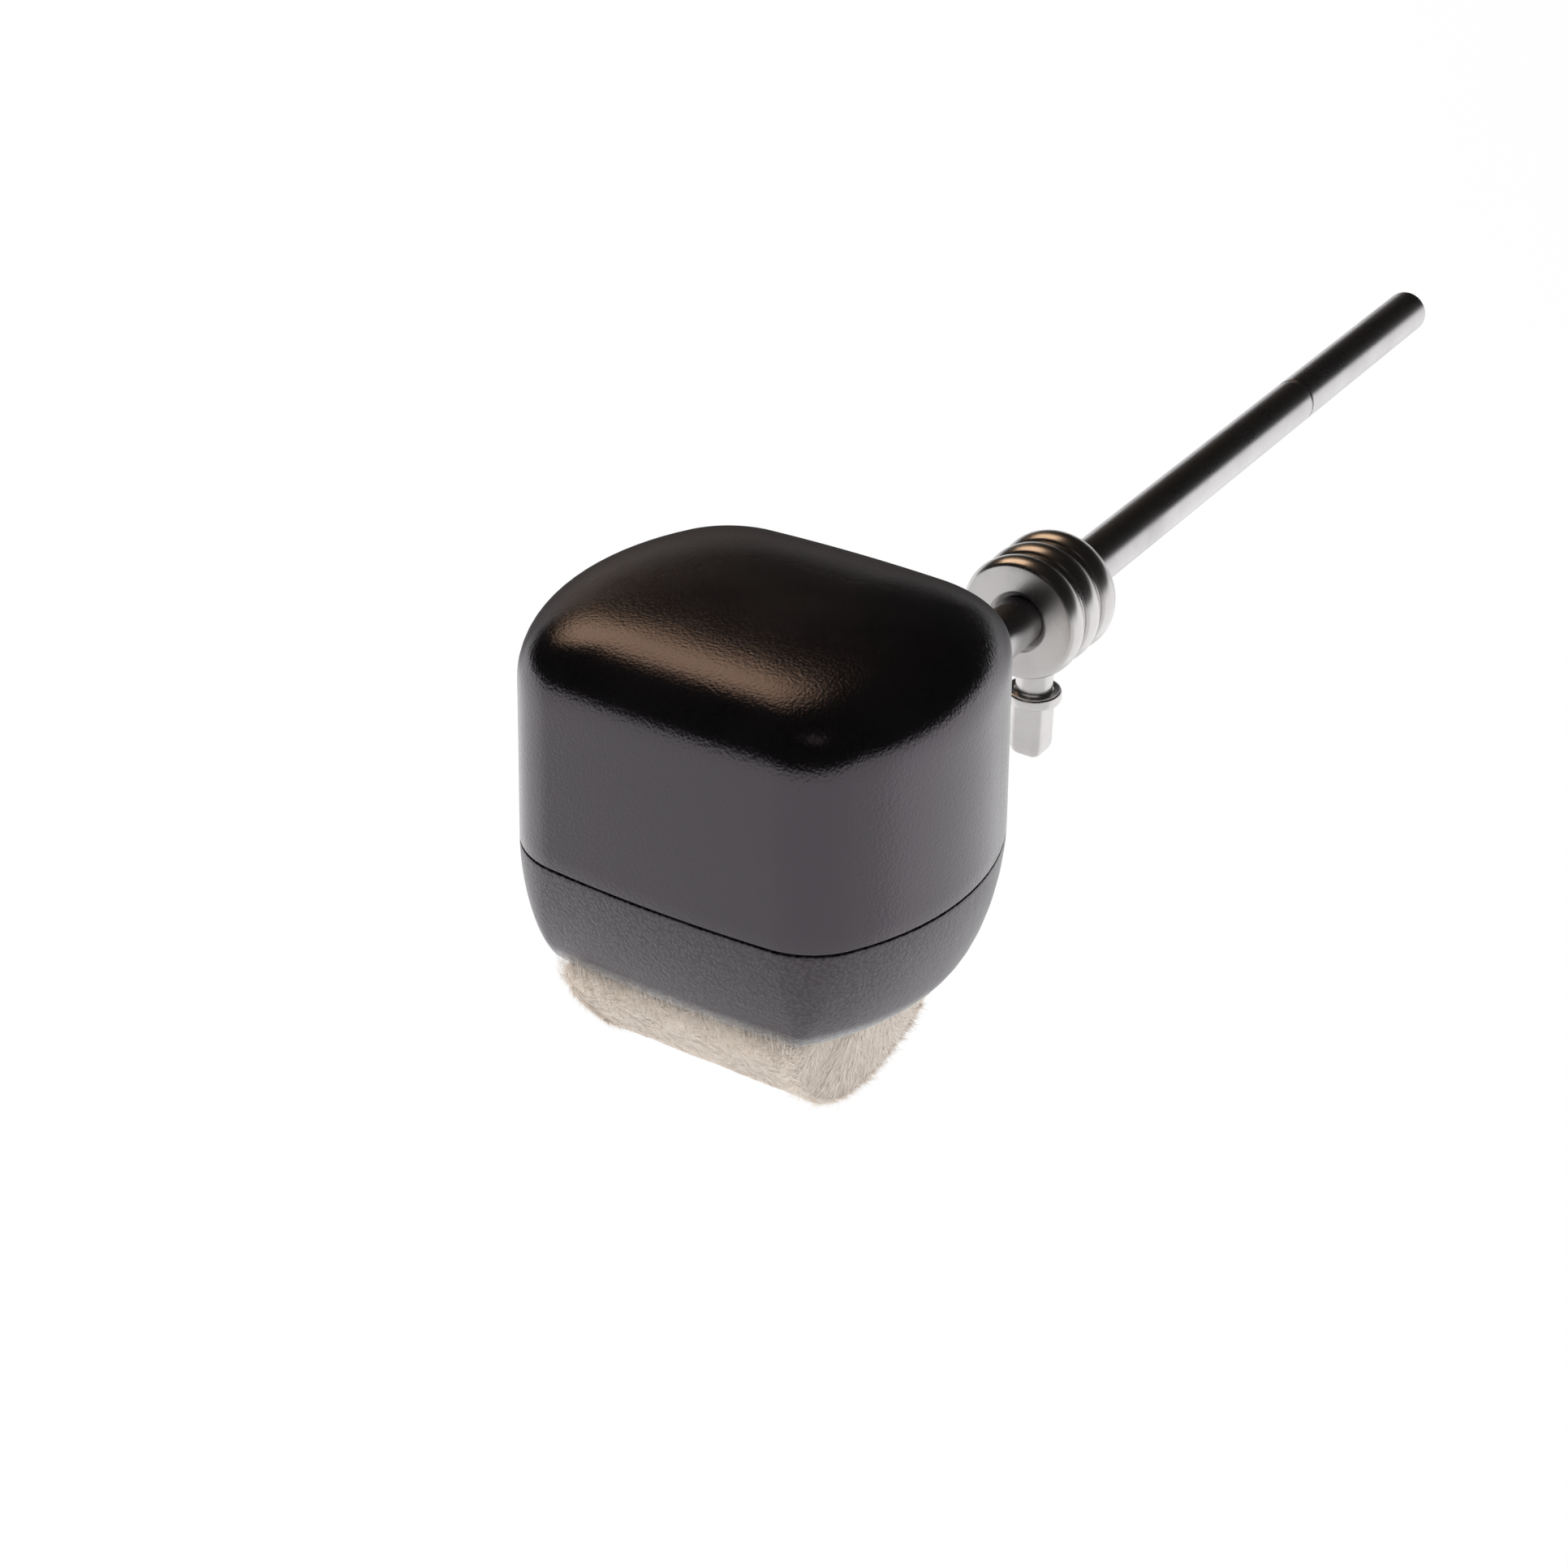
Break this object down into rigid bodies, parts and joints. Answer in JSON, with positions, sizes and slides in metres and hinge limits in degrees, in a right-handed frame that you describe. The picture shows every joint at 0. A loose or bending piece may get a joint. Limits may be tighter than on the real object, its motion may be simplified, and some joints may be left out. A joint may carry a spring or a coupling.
{
  "type": "bass drum beater",
  "caption": "Bass drum pedal beater: plated rod, black clamshell head with a half-round wool pad, and a sliding counterweight locked by a square-headed key screw.",
  "frame": {"origin": "on the rod's axis, in the stretch that a pedal's hub clamps, 24 mm above the rod's free end", "axes": "+Z along the rod towards the head, -Y the beating side with the wool pad, X across the head"},
  "size_m": [0.0646, 0.0697, 0.2588],
  "materials": {
    "shell_plastic": "satin moulded",
    "bezel_plastic": "fine grain",
    "wool": "dense cut pile",
    "hide": "raw suede",
    "core": "sanded",
    "plate": "plain",
    "screw_steel": "zinc plated",
    "rod_chrome": "polished plate",
    "hub_steel": "zinc plated",
    "nut_chrome": "plated",
    "weight_chrome": "polished plate",
    "key_chrome": "plated",
    "slug_brass": "plain"
  },
  "bodies": {
    "beater": {"rear_shell": "shell_plastic", "front_bezel": "bezel_plastic", "pad_plate": "plate", "pad_core": "core", "hide_backing": "hide", "wool_pile": "wool", "housing_screws": "screw_steel", "rod": "rod_chrome", "rod_hub": "hub_steel", "lock_washer": "nut_chrome", "lock_nut": "nut_chrome"},
    "weight": {"weight_collar": "weight_chrome"},
    "slug": {"clamp_pad": "slug_brass"},
    "key": {"key_screw": "key_chrome"}
  },
  "joints": [
    {"name": "weight_slide", "type": "slide", "parent": "beater", "child": "weight", "axis": [0, 0, 1], "range_m": [-0.086, 0.035]},
    {"name": "pad_slide", "type": "slide", "parent": "weight", "child": "slug", "axis": [0, -1, 0], "range_m": [0, 0.0015]},
    {"name": "key_turn", "type": "hinge", "parent": "slug", "child": "key", "pos_m": [0, 0, 0.1287], "axis": [0, -1, 0], "range_deg": [0, 540]}
  ],
  "couplings": [
    {"joint": "key_turn", "follows": "pad_slide", "rad_per_m": 6283.2}
  ]
}
